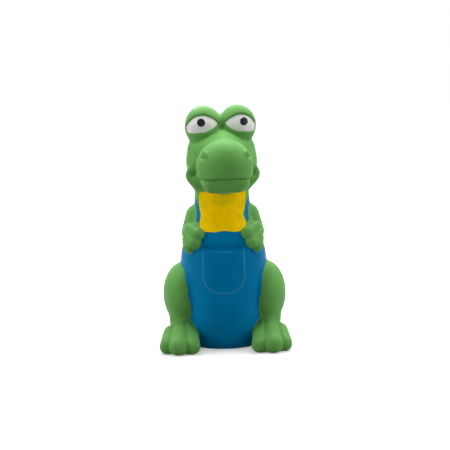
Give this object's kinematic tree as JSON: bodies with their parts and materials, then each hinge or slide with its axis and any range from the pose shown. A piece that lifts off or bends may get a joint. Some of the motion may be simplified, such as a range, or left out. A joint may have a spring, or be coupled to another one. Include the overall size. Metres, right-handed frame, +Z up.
{
  "type": "squeaky latex toy",
  "caption": "Seated squeaky latex crocodile figure in painted bib overalls, stuffed round a bellows squeaker that sounds when it is pressed.",
  "frame": {"origin": "on the floor, at the middle of the figure's width and depth", "axes": "+Z up, the figure faces -Y with its head turned 5 degrees towards +X, +X to the right of someone who looks at its face"},
  "size_m": [0.0894, 0.0963, 0.1647],
  "materials": {
    "latex_green": "matt natural latex, dyed through",
    "paint_blue": "satin latex paint",
    "paint_yellow": "satin latex paint",
    "paint_white": "satin latex paint",
    "paint_black": "satin latex paint",
    "latex_patch": "matt sheet latex, glued on",
    "wadding": "loose polyester fibre",
    "bulb_plastic": "blown soft polyethylene, milky",
    "reed_plastic": "moulded hard plastic",
    "reed_film": "stiff polyester film"
  },
  "bodies": {
    "toy": {"skin": "latex_green", "overalls_coat": "paint_blue", "shirt_coat": "paint_yellow", "eye_white_left": "paint_white", "eye_white_right": "paint_white", "pupil_left": "paint_black", "pupil_right": "paint_black", "base_patch": "latex_patch", "filling": "wadding", "bulb_neck": "bulb_plastic", "bulb_bellows": "bulb_plastic", "reed_sleeve": "reed_plastic", "reed_seat": "reed_plastic", "reed_wedge": "reed_plastic"},
    "crown": {"bulb_crown": "bulb_plastic"},
    "reed": {"reed_tongue": "reed_film"}
  },
  "joints": [
    {"name": "bulb_squeeze", "type": "slide", "parent": "toy", "child": "crown", "axis": [0, 0, -1], "range_m": [0, 0.007], "stiffness_N_per_m": 250, "deforming": ["bulb_bellows"]},
    {"name": "reed_flutter", "type": "hinge", "parent": "toy", "child": "reed", "pos_m": [0.0006, 0, 0.0056], "axis": [0, 1, 0], "range_deg": [-3, 2], "stiffness_Nm_per_rad": 0.001}
  ]
}
